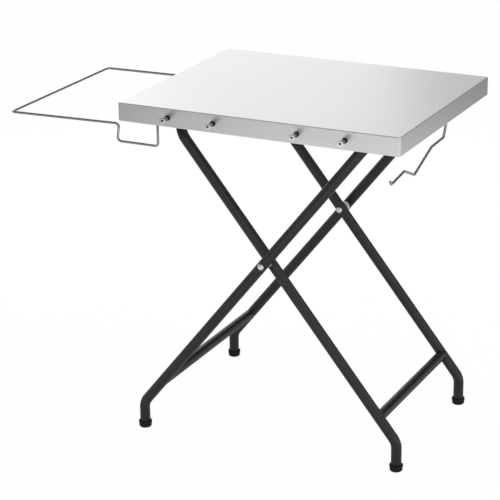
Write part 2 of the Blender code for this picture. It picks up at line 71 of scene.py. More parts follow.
SATIN_STRETCH = (1.0, 160.0, 1.0)
FRONT = -DEPTH / 2


def at(x, y, z):
    """A place in the table's own axes, with the origin on the floor under the middle of the tray."""
    return Vector((MIDDLE.x + x, MIDDLE.y + y, z))


def add_node(tree, kind, inputs=(), **options):
    """A node with its options set, and each named socket given a value or a link."""
    made = tree.nodes.new(kind)
    for key, value in options.items():
        setattr(made, key, value)
    for key, value in dict(inputs).items():
        if isinstance(value, bpy.types.NodeSocket):
            tree.links.new(value, made.inputs[key])
        else:
            made.inputs[key].default_value = value
    return made


def new_finish(name, roughness, metallic, specular=0.5):
    """A material with its shader's plain values set."""
    made = bpy.data.materials.new(name)
    made.use_nodes = True
    shader = made.node_tree.nodes["Principled BSDF"]
    shader.inputs["Roughness"].default_value = roughness
    shader.inputs["Metallic"].default_value = metallic
    shader.inputs["Specular IOR Level"].default_value = specular
    return made, made.node_tree, shader


def mottle(tree, source, scale, detail=2.0, stretch=(1, 1, 1)):
    """Noise on a piece's own coordinates, drawn out by the stretch."""
    where = add_node(tree, "ShaderNodeTexCoord").outputs[source]
    drawn = add_node(tree, "ShaderNodeMapping", {"Vector": where, "Scale": stretch}).outputs[0]
    noise = add_node(tree, "ShaderNodeTexNoise", {"Vector": drawn, "Scale": scale, "Detail": detail})
    return noise.outputs["Fac"]


def tint(tree, shader, value, dark, light):
    """Lets the colour drift between two tones."""
    mixed = add_node(tree, "ShaderNodeMix", {0: value, 6: (*dark, 1), 7: (*light, 1)}, data_type="RGBA")
    tree.links.new(mixed.outputs[2], shader.inputs["Base Color"])


def ramp(tree, value, reach, start=1.0, end=0.0):
    """Runs from the start to the end as the value passes through its reach."""
    return add_node(tree, "ShaderNodeMapRange", {"Value": value, "From Min": reach[0], "From Max": reach[1],
                                                 "To Min": start, "To Max": end}).outputs[0]


def gloss(tree, shader, value, low, high, reach=(0.3, 0.7)):
    """Lets the roughness drift between two values as a noise passes through its usual reach."""
    tree.links.new(ramp(tree, value, reach, low, high), shader.inputs["Roughness"])


def relief(tree, shader, value, strength, distance):
    """Raises the finish by a pattern."""
    bump = add_node(tree, "ShaderNodeBump", {"Height": value, "Strength": strength, "Distance": distance})
    tree.links.new(bump.outputs[0], shader.inputs["Normal"])


def add_piece(name, data):
    """An object in the scene that holds this mesh, lamp or lens."""
    made = bpy.data.objects.new(name, data)
    bpy.context.scene.collection.objects.link(made)
    return made


def settle(piece, sharp=30):
    """Turns a piece and its modifiers into a plain mesh, smooth but for its sharp edges."""
    bpy.context.view_layer.update()
    graph = bpy.context.evaluated_depsgraph_get()
    shape = bpy.data.meshes.new_from_object(piece.evaluated_get(graph), preserve_all_data_layers=True,
                                            depsgraph=graph)
    piece.modifiers.clear()
    piece.data = shape
    shape.shade_smooth()
    shape.set_sharp_from_angle(angle=radians(sharp))
    return piece


def thicken(piece, thickness):
    """Gives a sheet its thickness, inwards from its faces."""
    wall = piece.modifiers.new("wall", "SOLIDIFY")
    wall.thickness = thickness
    wall.offset = -1
    wall.use_even_offset = True


def to_shape(work, name):
    """The mesh in hand, finished and named."""
    shape = bpy.data.meshes.new(name)
    work.to_mesh(shape)
    work.free()
    return shape


def cut_out(piece, bit, crossing=False):
    """Cuts a bit, or bits that cross each other, out of a piece and settles it."""
    hole = piece.modifiers.new("hole", "BOOLEAN")
    hole.object = bit
    hole.operation = "DIFFERENCE"
    hole.use_self = crossing
    settle(piece)
    bpy.data.objects.remove(bit, do_unlink=True)


def drill(piece, places, direction, radius, depth, sides=24):
    """Drills round holes through a piece, and settles it."""
    work = bmesh.new()
    turn = Vector(direction).to_track_quat("Z", "Y").to_matrix().to_4x4()
    for place in places:
        bmesh.ops.create_cone(work, cap_ends=True, segments=sides, radius1=radius, radius2=radius,
                              depth=depth, matrix=Matrix.Translation(place) @ turn)
    cut_out(piece, add_piece("drill", to_shape(work, "drill")))


def hand_over(piece, body, slot, *nodes):
    """Puts a finished piece on its body, in the place of the solids that it stands for."""
    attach(piece, body)
    if nodes:
        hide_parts(*nodes)


def tray_outline(inset):
    """The tray's rounded outline this far in from its sides, each point with its outward direction."""
    radius = max(CORNER_RADIUS - inset, SHEET)
    reach_x = LENGTH / 2 - inset - radius
    reach_y = DEPTH / 2 - inset - radius
    points = []
    for quarter, (side_x, side_y) in enumerate(((1, 1), (-1, 1), (-1, -1), (1, -1))):
        for k in range(CORNER_STEPS + 1):
            turn = pi / 2 * (quarter + k / CORNER_STEPS)
            out = Vector((cos(turn), sin(turn)))
            points.append((Vector((side_x * reach_x, side_y * reach_y)) + radius * out, out))
    return points


def tray_section():
    """The bent edge as (inset, drop, run), where run is the length along the sheet from the first bend."""
    turns = [pi / 2 * k / BEND_STEPS for k in range(BEND_STEPS + 1)]
    bend = EDGE_RADIUS * pi / 2
    wall = FLANGE - 2 * EDGE_RADIUS
    section = [(EDGE_RADIUS + EDGE_HOLD, 0, -EDGE_HOLD)]
    section += [(EDGE_RADIUS * (1 - sin(a)), EDGE_RADIUS * (1 - cos(a)), EDGE_RADIUS * a) for a in turns]
    section.append((0, EDGE_RADIUS + EDGE_HOLD, bend + EDGE_HOLD))
    section.append((0, FLANGE - EDGE_RADIUS - EDGE_HOLD, bend + wall - EDGE_HOLD))
    section += [(EDGE_RADIUS * (1 - cos(a)), FLANGE - EDGE_RADIUS * (1 - sin(a)),
                 bend + wall + EDGE_RADIUS * a) for a in turns]
    section.append((EDGE_RADIUS + EDGE_HOLD, FLANGE, 2 * bend + wall + EDGE_HOLD))
    section.append((LIP, FLANGE, 2 * bend + wall + LIP - EDGE_RADIUS))
    return section


def tray_sheet():
    """The bent sheet. Its UV map is the sheet laid flat, so that the grain runs on round the bends."""
    work = bmesh.new()
    flat = {}
    rings = []
    first_bend = tray_outline(EDGE_RADIUS)
    for inset, drop, run in tray_section():
        ring = []
        for (place, out), (start, start_out) in zip(tray_outline(inset), first_bend):
            vert = work.verts.new(at(place.x, place.y, TOP - drop))
            flat[vert] = start + start_out * run
            ring.append(vert)
        rings.append(ring)
    work.faces.new(rings[0])
    count = len(rings[0])
    for upper, lower in zip(rings, rings[1:]):
        for k in range(count):
            after = (k + 1) % count
            work.faces.new((upper[k], lower[k], lower[after], upper[after]))
    layer = work.loops.layers.uv.new("sheet")
    for face in work.faces:
        for loop in face.loops:
            loop[layer].uv = flat[loop.vert]
    return to_shape(work, "tray")


satin_steel, tree, shader = new_finish("satin_stainless", roughness=0.36, metallic=1.0)
grain = mottle(tree, "UV", 14.0, detail=3.0, stretch=SATIN_STRETCH)
gloss(tree, shader, grain, low=0.33, high=0.40)
relief(tree, shader, grain, strength=0.05, distance=0.0001)
tint(tree, shader, mottle(tree, "UV", 3.5), (0.76, 0.76, 0.755), (0.79, 0.79, 0.785))

tray = add_piece("tray", tray_sheet())
tray.data.materials.append(satin_steel)
thicken(tray, SHEET)
peg_height = TOP - FLANGE / 2
drill(tray, [at(x, FRONT, peg_height) for x in PEG_PLACES], (0, 1, 0), PEG_HOLE_RADIUS, 4 * EDGE_RADIUS)
hand_over(tray, "tabletop", "stainless_sheet", "tray_top")

# Stiffening rails
# Two hat-section rails of zinc-plated sheet run along the underside of the tray and keep it flat.
# Their brims lie against the sheet and are spot welded to it.
RAIL_LENGTH = 0.600
RAIL_WIDTH = 0.030
RAIL_DEPTH = 0.015
RAIL_BRIM = 0.012
RAIL_SPACING = 0.120
RAIL_BEND = 0.0022
SEAT = 0.0003
SPOT_SPACING = 0.090
SPOT_STEPS = range(-3, 4)
SPOT_RADIUS = 0.0026
SPOT_HEIGHT = 0.00025
SPOT_RINGS = ((0, 1), (0.55, 1), (0.75, 0.4), (0.9, 0.5), (1, 0), (0, -1))
UNDERSIDE = TOP - SHEET - SEAT
RAIL_FLOOR = UNDERSIDE - RAIL_DEPTH - SHEET
SIDES = {"front": -1, "back": 1}
DOWN = (0, 0, -1)
ON_AXIS = 1e-7


def bent_path(points, radius, steps=6, share=0.48):
    """A path whose inner corners become arcs, each on at most this share of the straights beside it."""
    path = [Vector(points[0])]
    for before, corner, after in zip(points, points[1:], points[2:]):
        corner = Vector(corner)
        way_in = Vector(before) - corner
        way_out = Vector(after) - corner
        half = way_in.angle(way_out) / 2
        room = share * min(way_in.length, way_out.length)
        bend = min(radius, room * tan(half))
        way_in.normalize()
        way_out.normalize()
        middle = corner + (way_in + way_out).normalized() * (bend / sin(half))
        start = corner + way_in * (bend / tan(half)) - middle
        across = corner + way_out * (bend / tan(half)) - middle
        turn = pi - 2 * half
        side = (across - start * cos(turn)) / sin(turn)
        turns = [turn * k / steps for k in range(steps + 1)]
        path += [middle + start * cos(a) + side * sin(a) for a in turns]
    path.append(Vector(points[-1]))
    return path


def strip_shape(name, stations):
    """A strip of sheet through stations of (y, z, low x, high x) that are its upper side."""
    work = bmesh.new()
    rows = [(work.verts.new(at(low, y, z)), work.verts.new(at(high, y, z))) for y, z, low, high in stations]
    for (low, high), (next_low, next_high) in zip(rows, rows[1:]):
        work.faces.new((low, high, next_high, next_low))
    return to_shape(work, name)


def rail(where, side):
    """One rail, which hangs by its brims."""
    middle = side * RAIL_SPACING
    half = RAIL_WIDTH / 2
    floor = UNDERSIDE - RAIL_DEPTH
    corners = [(middle - half - RAIL_BRIM, UNDERSIDE), (middle - half, UNDERSIDE), (middle - half, floor),
               (middle + half, floor), (middle + half, UNDERSIDE), (middle + half + RAIL_BRIM, UNDERSIDE)]
    stations = [(y, z, -RAIL_LENGTH / 2, RAIL_LENGTH / 2) for y, z in bent_path(corners, RAIL_BEND)]
    made = add_piece(f"rail_{where}", strip_shape("rail", stations))
    made.data.materials.append(zinc_plate)
    thicken(made, SHEET)
    settle(made)
    hand_over(made, "tabletop", "zinc_steel", f"stiffener_{where}")


def fill_points(name, places):
    """A mesh of loose points, each with the way that it faces."""
    shape = bpy.data.meshes.new(name)
    shape.from_pydata([place for place, facing in places], [], [])
    facing_layer = shape.attributes.new("facing", "FLOAT_VECTOR", "POINT")
    facing_layer.data.foreach_set("vector", [value for place, facing in places for value in facing])
    return shape


def turned_shape(name, profile, sides=40):
    """A round shape from (radius, height) points down its side. Its UV is the turn and the run along them."""
    work = bmesh.new()
    rings = []
    runs = [0.0]
    for (radius, height), (next_radius, next_height) in zip(profile, profile[1:]):
        runs.append(runs[-1] + hypot(next_radius - radius, next_height - height))
    for radius, height in profile:
        if radius < ON_AXIS:
            rings.append([work.verts.new((0, 0, height))] * sides)
        else:
            turns = [2 * pi * k / sides for k in range(sides)]
            rings.append([work.verts.new((radius * cos(a), radius * sin(a), height)) for a in turns])
    layer = work.loops.layers.uv.new("turn")
    for level, (upper, lower) in enumerate(zip(rings, rings[1:])):
        for k in range(sides):
            after = (k + 1) % sides
            corners = [(upper[k], k, level), (lower[k], k, level + 1), (lower[after], k + 1, level + 1),
                       (upper[after], k + 1, level)]
            kept = []
            for corner in corners:
                if all(corner[0] is not other[0] for other in kept):
                    kept.append(corner)
            face = work.faces.new([vert for vert, step, row in kept])
            for loop, (vert, step, row) in zip(face.loops, kept):
                loop[layer].uv = (step / sides, runs[row])
    return to_shape(work, name)


def soften(profile, radius, steps=4):
    """A turned profile with its corners eased."""
    return [(max(point.x, 0.0), point.y) for point in bent_path([Vector(p) for p in profile], radius, steps)]


def start_tree(name, inputs, output):
    """A node tree with these named inputs and one geometry that it gives out."""
    made = bpy.data.node_groups.new(name, "GeometryNodeTree")
    for socket, kind in inputs.items():
        made.interface.new_socket(socket, in_out="INPUT", socket_type=f"NodeSocket{kind}")
    made.interface.new_socket(output, in_out="OUTPUT", socket_type="NodeSocketGeometry")
    return made, add_node(made, "NodeGroupInput").outputs


def end_tree(tree, shape, finish, output):
    """Makes what a tree has grown real, gives it its finish and hands it out."""
    real = add_node(tree, "GeometryNodeRealizeInstances", {"Geometry": shape})
    coated = add_node(tree, "GeometryNodeSetMaterial", {"Geometry": real.outputs[0], "Material": finish})
    add_node(tree, "NodeGroupOutput", {output: coated.outputs[0]})


def placed_tree():
    """Sets one shape on every point, turned to face the way that the point does."""
    inputs = {"Places": "Geometry", "Shape": "Object", "Size": "Float", "Finish": "Material"}
    made, given = start_tree("set_in_place", inputs, "Pieces")
    facing = add_node(made, "GeometryNodeInputNamedAttribute", {"Name": "facing"}, data_type="FLOAT_VECTOR")
    turn = add_node(made, "FunctionNodeAlignRotationToVector", {"Vector": facing.outputs[0]}, axis="Z")
    shape = add_node(made, "GeometryNodeObjectInfo", {"Object": given["Shape"]})
    copies = add_node(made, "GeometryNodeInstanceOnPoints",
                      {"Points": given["Places"], "Instance": shape.outputs["Geometry"],
                       "Rotation": turn.outputs[0], "Scale": given["Size"]})
    end_tree(made, copies.outputs[0], given["Finish"], "Pieces")
    return made


def run_tree(name, tree, shape, inputs, sharp=30):
    """A piece grown from a mesh by a node tree, settled to a plain mesh."""
    made = add_piece(name, shape)
    growth = made.modifiers.new("growth", "NODES")
    growth.node_group = tree
    for socket in tree.interface.items_tree:
        if socket.name in inputs:
            growth[socket.identifier] = inputs[socket.name]
    return settle(made, sharp)


def set_in_place(name, shape, places, finish, sharp=30):
    """One piece that is made of copies of a shape at these places."""
    pattern = bpy.data.objects.new("pattern", shape)
    made = run_tree(name, SET_IN_PLACE, fill_points(name, places),
                    {"Shape": pattern, "Size": 1.0, "Finish": finish}, sharp)
    bpy.data.objects.remove(pattern, do_unlink=True)
    return made


SET_IN_PLACE = placed_tree()

zinc_plate, tree, shader = new_finish("zinc_plate", roughness=0.4, metallic=1.0)
crystals = add_node(tree, "ShaderNodeTexVoronoi",
                    {"Vector": add_node(tree, "ShaderNodeTexCoord").outputs["Object"], "Scale": 260.0})
tint(tree, shader, crystals.outputs["Color"], (0.46, 0.47, 0.49), (0.58, 0.59, 0.60))
gloss(tree, shader, mottle(tree, "Object", 90.0, detail=3.0), low=0.34, high=0.50)
relief(tree, shader, mottle(tree, "Object", 900.0), strength=0.08, distance=0.0002)

for where, side in SIDES.items():
    rail(where, side)

spot_profile = [(radius * SPOT_RADIUS, height * SPOT_HEIGHT) for radius, height in SPOT_RINGS]
spot_places = []
for side in SIDES.values():
    for brim in (-1, 1):
        y = side * RAIL_SPACING + brim * (RAIL_WIDTH + RAIL_BRIM) / 2
        spot_places += [(at(SPOT_SPACING * k, y, UNDERSIDE - SHEET), DOWN) for k in SPOT_STEPS]
spot_welds = set_in_place("spot_welds", turned_shape("spot", spot_profile, sides=16), spot_places, zinc_plate)
hand_over(spot_welds, "tabletop", "zinc_steel")

# Hinge brackets
# An inverted U of thick zinc-plated plate is riveted under each rail near the right end. The hinge rod
# of the outer legs turns in a hole through its two rounded ears.
LEG_RADIUS = 0.0125
BAR_UNDER_FLANGE = 0.003
HINGE_REACH = 0.2404
ROD_RADIUS = 0.006
BRACKET_LENGTH = 0.030
BRACKET_SPAN = 0.026
BRACKET_PLATE = 0.0025
BRACKET_BEND = 0.0035
BRACKET_TURNS = range(8, 89, 8)
RIVET_RADIUS = 0.0036
RIVET_HEIGHT = 0.0017
RIVET_OFFSET = 0.0085
RIVET_TURNS = (0, 22, 45, 65, 82, 90)
BAR_HEIGHT = TOP - FLANGE - BAR_UNDER_FLANGE - LEG_RADIUS


def hinge_bracket(where, side):
    """One bracket, drilled for the hinge rod."""
    middle = side * RAIL_SPACING
    half = BRACKET_SPAN / 2
    top = RAIL_FLOOR - SEAT
    ear = BRACKET_LENGTH / 2
    corners = [(middle - half, BAR_HEIGHT), (middle - half, top), (middle + half, top),
               (middle + half, BAR_HEIGHT)]
    upper = [(y, z, ear) for y, z in bent_path(corners, BRACKET_BEND)]
    turns = [radians(a) for a in BRACKET_TURNS]
    tips = [(BAR_HEIGHT - ear * sin(a), ear * cos(a)) for a in turns]
    outline = [(middle - half, z, reach) for z, reach in reversed(tips)] + upper
    outline += [(middle + half, z, reach) for z, reach in tips]
    stations = [(y, z, HINGE_REACH - reach, HINGE_REACH + reach) for y, z, reach in outline]
    made = add_piece(f"hinge_bracket_plate_{where}", strip_shape("bracket", stations))
    made.data.materials.append(zinc_plate)
    thicken(made, BRACKET_PLATE)
    rod_place = at(HINGE_REACH, middle, BAR_HEIGHT)
    drill(made, [rod_place], (0, 1, 0), ROD_RADIUS + SEAT, 2 * BRACKET_SPAN, sides=32)
    hand_over(made, "tabletop", "zinc_steel", f"hinge_bracket_{where}")


for where, side in SIDES.items():
    hinge_bracket(where, side)

rivet_turns = [radians(a) for a in RIVET_TURNS]
rivet_profile = [(RIVET_RADIUS * sin(a), RIVET_HEIGHT * cos(a)) for a in rivet_turns]
rivet_profile.append((0, -RIVET_HEIGHT / 4))
plate_floor = RAIL_FLOOR - SEAT - BRACKET_PLATE
rivet_places = [(at(HINGE_REACH + end * RIVET_OFFSET, side * RAIL_SPACING, plate_floor), DOWN)
                for side in SIDES.values() for end in (-1, 1)]
rivet_shape = turned_shape("rivet", rivet_profile, sides=24)
bracket_rivets = set_in_place("bracket_rivets", rivet_shape, rivet_places, zinc_plate)
hand_over(bracket_rivets, "tabletop", "zinc_steel")

# Bar clips
# Two moulded black nylon clips are screwed under the left ends of the rails. The bar of the inner frame
# lies in their slots, which open to the left, and the tray rests on it there.
CLIP_WIDTH = 0.028
CLIP_WALL = 0.005
CLIP_PLAY = 0.0005
CLIP_OVERHANG = 0.010
CLIP_EAR = 0.014
CLIP_EAR_THICKNESS = 0.003
CLIP_EASE = 0.0007
CLIP_EASE_FROM = 40
SCREW_RADIUS = 0.0034
SCREW_HEIGHT = 0.0021
SCREW_EDGE = 0.4
SCREW_TURNS = (0, 25, 50, 70, 84, 90)
SCREW_SLOT = 0.0011
SCREW_CROSS = ((3, 1, 1), (1, 3, 1))


def arc_points(centre_x, centre_z, radius, start, end, steps=16):
    """Points on an arc in an XZ plane, between two angles in degrees."""
    turns = [radians(start + (end - start) * k / steps) for k in range(steps + 1)]
    return [(centre_x + radius * cos(a), centre_z + radius * sin(a)) for a in turns]


def slab_shape(name, outline, y_low, y_high):
    """A block with this outline in XZ, between two places along Y."""
    work = bmesh.new()
    near = [work.verts.new(at(x, y_low, z)) for x, z in outline]
    far = [work.verts.new(at(x, y_high, z)) for x, z in outline]
    work.faces.new(near)
    work.faces.new(far[::-1])
    for k in range(len(outline)):
        after = (k + 1) % len(outline)
        work.faces.new((near[after], near[k], far[k], far[after]))
    bmesh.ops.recalc_face_normals(work, faces=work.faces)
    return to_shape(work, name)


def bar_clip(where, side):
    """One clip, which hands back the places of its two screws."""
    top = RAIL_FLOOR - SEAT
    slot = LEG_RADIUS + CLIP_PLAY
    left = -HINGE_REACH - CLIP_OVERHANG
    right = -HINGE_REACH + slot + CLIP_WALL
    ear = top - CLIP_EAR_THICKNESS
    outline = [(left - CLIP_EAR, top), (left - CLIP_EAR, ear), (left, ear), (left, BAR_HEIGHT + slot)]
    outline += arc_points(-HINGE_REACH, BAR_HEIGHT, slot, 90, -90)
    outline += [(left, BAR_HEIGHT - slot), (left, BAR_HEIGHT - slot - CLIP_WALL)]
    outline += arc_points(-HINGE_REACH, BAR_HEIGHT, slot + CLIP_WALL, -90, 0, steps=10)
    outline += [(right, ear), (right + CLIP_EAR, ear), (right + CLIP_EAR, top)]
    middle = side * RAIL_SPACING
    half = CLIP_WIDTH / 2
    made = add_piece(f"clip_{where}", slab_shape("clip", outline, middle - half, middle + half))
    made.data.materials.append(black_moulding)
    ease = made.modifiers.new("ease", "BEVEL")
    ease.width = CLIP_EASE
    ease.segments = 2
    ease.limit_method = "ANGLE"
    ease.angle_limit = radians(CLIP_EASE_FROM)
    settle(made)
    hand_over(made, "tabletop", "black_nylon", f"bar_clip_{where}")
    return [(at(x, middle, ear), DOWN) for x in (left - CLIP_EAR / 2, right + CLIP_EAR / 2)]


def screw_shape():
    """A pan-head screw with a cross slot."""
    turns = [radians(a) for a in SCREW_TURNS]
    edge = SCREW_EDGE * SCREW_HEIGHT
    rise = (1 - SCREW_EDGE) * SCREW_HEIGHT
    dome = [(SCREW_RADIUS * sin(a), edge + rise * cos(a)) for a in turns]
    head = add_piece("head", turned_shape("head", dome + [(SCREW_RADIUS, 0), (0, 0)], sides=24))
    work = bmesh.new()
    for bar in SCREW_CROSS:
        size = Matrix.Diagonal((*(Vector(bar) * SCREW_SLOT), 1))
        bmesh.ops.create_cube(work, size=1.0, matrix=Matrix.Translation((0, 0, SCREW_HEIGHT)) @ size)
    cut_out(head, add_piece("cross", to_shape(work, "cross")), crossing=True)
    shape = head.data
    bpy.data.objects.remove(head, do_unlink=True)
    return shape


black_moulding, tree, shader = new_finish("black_moulding", roughness=0.55, metallic=0.0, specular=0.35)
tint(tree, shader, mottle(tree, "Object", 120.0), (0.012, 0.012, 0.013), (0.018, 0.018, 0.019))
gloss(tree, shader, mottle(tree, "Object", 60.0), low=0.48, high=0.62)
relief(tree, shader, mottle(tree, "Object", 2200.0), strength=0.15, distance=0.0002)

screw_places = []
for where, side in SIDES.items():
    screw_places += bar_clip(where, side)
clip_screws = set_in_place("clip_screws", screw_shape(), screw_places, zinc_plate)
hand_over(clip_screws, "tabletop", "zinc_steel")

# Wire sockets
# Three short zinc-plated sockets are welded by their round bases to the underside of the sheet. Two hold
# the ends of the bag holder's wire and one holds the end of the roll holder's.
WIRE_RADIUS = 0.003
SOCKET_LENGTH = 0.034
SOCKET_WALL = 0.003
SOCKET_BRIM = 0.006
SOCKET_BASE = 0.002
SOCKET_PLAY = 0.0004
SOCKET_EASE = 0.0007
BAG_INSET = 0.072
ROLL_INSET = 0.017
ROLL_BACK = 0.0423
INNER_HALF = 0.206
SPACER_THICKNESS = 0.011
OUTER_HALF = INNER_HALF + 2 * LEG_RADIUS + SPACER_THICKNESS
ARM_HALF = (INNER_HALF + OUTER_HALF) / 2
BAG_END = -LENGTH / 2 + BAG_INSET
ROLL_END = (LENGTH / 2 - ROLL_INSET, ROLL_BACK)
UP = (0, 0, 1)

bore = WIRE_RADIUS + SOCKET_PLAY
barrel = bore + SOCKET_WALL
socket_profile = soften([(0, 0), (barrel + SOCKET_BRIM, 0), (barrel + SOCKET_BRIM, -SOCKET_BASE),
                         (barrel, -SOCKET_BASE), (barrel, -SOCKET_LENGTH), (bore, -SOCKET_LENGTH),
                         (bore, -2 * SOCKET_BASE), (0, -2 * SOCKET_BASE)], SOCKET_EASE)
socket_places = [(at(x, y, UNDERSIDE), UP) for x, y in ((BAG_END, -ARM_HALF), (BAG_END, ARM_HALF), ROLL_END)]
sockets = set_in_place("wire_sockets", turned_shape("socket", socket_profile), socket_places, zinc_plate)
hand_over(sockets, "tabletop", "zinc_steel", "bag_socket_front", "bag_socket_back", "paper_socket")

# Tool pegs
# Four turned steel pegs for grill tools stand out of the front. Each is blackened all over, then faced
# bright at its flared end with the blind hole, whose inside is painted darker still as shade, and its screw
# end is held by a hex nut behind the sheet.
PEG_LENGTH = 0.026
PEG_KNOB = 0.00675
PEG_SHANK = 0.00475
PEG_BORE = 0.0021
PEG_BORE_DEPTH = 0.006
PEG_SCREW = 0.0025
PEG_SCREW_LENGTH = 0.006
PEG_RIM = 0.001
PEG_EASE = 0.0005
PEG_BRIGHT = 0.82
PEG_BLACKENED = 0.20
# Blackened steel with painted shade on top: the blind hole is coloured darker than the blackened shank.
PEG_BORE_BLACK_AND_SHADE = 0.09
LATHE_STRETCH = (2.0, 2600.0, 1.0)
COLLAR_THICKNESS = 0.0035


def sums(tree, operation, *values):
    """One step of arithmetic on values and sockets."""
    return add_node(tree, "ShaderNodeMath", dict(enumerate(values)), operation=operation).outputs[0]


def between(tree, share, first, second):
    """Runs from the first value to the second as the share goes from 0 to 1."""
    return add_node(tree, "ShaderNodeMix", {0: share, 2: first, 3: second}).outputs[0]


def turned_steel(name):
    """Bright steel with the fine rings of the lathe round it."""
    made, tree, shader = new_finish(name, roughness=0.2, metallic=1.0)
    rings = mottle(tree, "UV", 1.0, stretch=LATHE_STRETCH)
    gloss(tree, shader, rings, low=0.16, high=0.28)
    relief(tree, shader, rings, strength=0.06, distance=0.0001)
    return made, tree, shader


peg_steel, tree, shader = turned_steel("turned_peg_steel")
profile_place = add_node(tree, "ShaderNodeTexCoord").outputs["UV"]
along = add_node(tree, "ShaderNodeSeparateXYZ", {0: profile_place}).outputs["Y"]
faced_from = PEG_BORE + PEG_BORE_DEPTH
faced_to = faced_from + PEG_KNOB - PEG_BORE + 2 * PEG_RIM
past_bore = sums(tree, "GREATER_THAN", along, faced_from)
past_face = sums(tree, "GREATER_THAN", along, faced_to)
outer_tone = between(tree, past_face, PEG_BRIGHT, PEG_BLACKENED)
# Inside the blind hole the colour is painted shade, darker than the blackened shank.
peg_tone = between(tree, past_bore, PEG_BORE_BLACK_AND_SHADE, outer_tone)
tree.links.new(peg_tone, shader.inputs["Base Color"])

bore_floor = PEG_LENGTH - PEG_BORE_DEPTH
shoulder = COLLAR_THICKNESS + 2 * SEAT
flare = PEG_LENGTH - 2 * PEG_RIM
peg_profile = soften([(0, bore_floor), (PEG_BORE, bore_floor), (PEG_BORE, PEG_LENGTH), (PEG_KNOB, PEG_LENGTH),
                      (PEG_KNOB, flare), (PEG_SHANK, flare - PEG_KNOB + PEG_SHANK), (PEG_SHANK, shoulder),
                      (PEG_SCREW, shoulder), (PEG_SCREW, -PEG_SCREW_LENGTH), (0, -PEG_SCREW_LENGTH)],
                     PEG_EASE)
peg_places = [(at(x, FRONT, peg_height), (0, -1, 0)) for x in PEG_PLACES]
pegs = set_in_place("tool_pegs", turned_shape("peg", peg_profile), peg_places, peg_steel)
hand_over(pegs, "tabletop", "bright_steel", "peg_1", "peg_2", "peg_3", "peg_4")

# Peg collars and nuts
# A black nylon collar on the screw of each peg keeps its shank off the sheet, and a zinc-plated hex nut is
# screwed up to the sheet on the inside.
COLLAR_RADIUS = 0.0064
COLLAR_EASE = 0.0006
NUT_WIDTH = 0.008
NUT_HEIGHT = 0.004
NUT_EASE = 0.0004

collar_bore = PEG_SCREW + SEAT
collar_top = COLLAR_THICKNESS + SEAT
collar_wall = (collar_bore + COLLAR_RADIUS) / 2
collar_profile = soften([(collar_wall, collar_top), (COLLAR_RADIUS, collar_top), (COLLAR_RADIUS, SEAT),
                         (collar_bore, SEAT), (collar_bore, collar_top), (collar_wall, collar_top)],
                        COLLAR_EASE)
collars = set_in_place("collars", turned_shape("collar", collar_profile), peg_places, black_moulding)
hand_over(collars, "tabletop", "black_nylon", "peg_collar_1", "peg_collar_2", "peg_collar_3", "peg_collar_4")


def hex_nut_shape():
    """A hexagonal nut with eased corners round a plain bore, standing on the origin."""
    work = bmesh.new()
    rings = []
    corner = NUT_WIDTH / sqrt(3)
    for radius, height in ((PEG_SCREW, 0), (corner, 0), (corner, NUT_HEIGHT - NUT_EASE),
                           (corner - 2 * NUT_EASE, NUT_HEIGHT), (PEG_SCREW, NUT_HEIGHT)):
        turns = [pi / 3 * k for k in range(6)]
        rings.append([work.verts.new((radius * cos(a), radius * sin(a), height)) for a in turns])
    for lower, upper in zip(rings, rings[1:] + rings[:1]):
        for k in range(6):
            after = (k + 1) % 6
            work.faces.new((lower[k], lower[after], upper[after], upper[k]))
    bmesh.ops.recalc_face_normals(work, faces=work.faces)
    return to_shape(work, "nut")


nut_places = [(at(x, FRONT + SHEET + SEAT, peg_height), (0, 1, 0)) for x in PEG_PLACES]
peg_nuts = set_in_place("peg_nuts", hex_nut_shape(), nut_places, zinc_plate, sharp=20)
hand_over(peg_nuts, "tabletop", "zinc_steel", "peg_nut_1", "peg_nut_2", "peg_nut_3", "peg_nut_4")

# Outer leg frame
# Two bent steel tubes rise from the left feet to the hinge at the right. A crossbar near the feet and the
# hinge rod at the top are welded between them, and the frame is powder coated black after welding.
PIVOT_HEIGHT = 0.473
OUTER_FOOT_BEND = 0.0656
OUTER_CROSSBAR_UP = 0.083
FOOT_BEND_RADIUS = 0.040
FOOT_BEND_STEPS = 16
LEG_OVERRUN = 0.014
CAP_PAD = 0.005
LEG_SIDES = 40
ROD_SIDES = 32
BEAD_RADIUS = 0.0015
BEAD_PITCH = 0.0026
BEAD_STEPS = 96
BEAD_SIDES = 10
BEAD_TUCK = 0.93
BEAD_LEAST = 0.55
BEAD_SWELL = 0.45
BEAD_RIPPLE = 0.12
LEG_ANGLE = atan2(BAR_HEIGHT - PIVOT_HEIGHT, HINGE_REACH)
LEG_UP = hypot(HINGE_REACH, BAR_HEIGHT - PIVOT_HEIGHT)
OUTER_FOOT = (PIVOT_HEIGHT - OUTER_FOOT_BEND) / tan(LEG_ANGLE)


def path_shape(name, path, closed=False, girths=None):
    """A line through points, with its own girth at each of them."""
    count = len(path)
    edges = [(k, k + 1) for k in range(count - 1)]
    if closed:
        edges.append((count - 1, 0))
    shape = bpy.data.meshes.new(name)
    shape.from_pydata(path, edges, [])
    girth = shape.attributes.new("girth", "FLOAT", "POINT")
    girth.data.foreach_set("value", girths or [1.0] * count)
    return shape


def tube_tree():
    """A round bar or tube that follows a line."""
    inputs = {"Line": "Geometry", "Radius": "Float", "Sides": "Int", "Finish": "Material"}
    made, given = start_tree("bent_tube", inputs, "Tube")
    line = add_node(made, "GeometryNodeMeshToCurve", {"Mesh": given["Line"]})
    ring = add_node(made, "GeometryNodeCurvePrimitiveCircle",
                    {"Resolution": given["Sides"], "Radius": given["Radius"]})
    girth = add_node(made, "GeometryNodeInputNamedAttribute", {"Name": "girth"}, data_type="FLOAT")
    skin = add_node(made, "GeometryNodeCurveToMesh",
                    {"Curve": line.outputs[0], "Profile Curve": ring.outputs[0], "Scale": girth.outputs[0],
                     "Fill Caps": True})
    end_tree(made, skin.outputs[0], given["Finish"], "Tube")
    return made


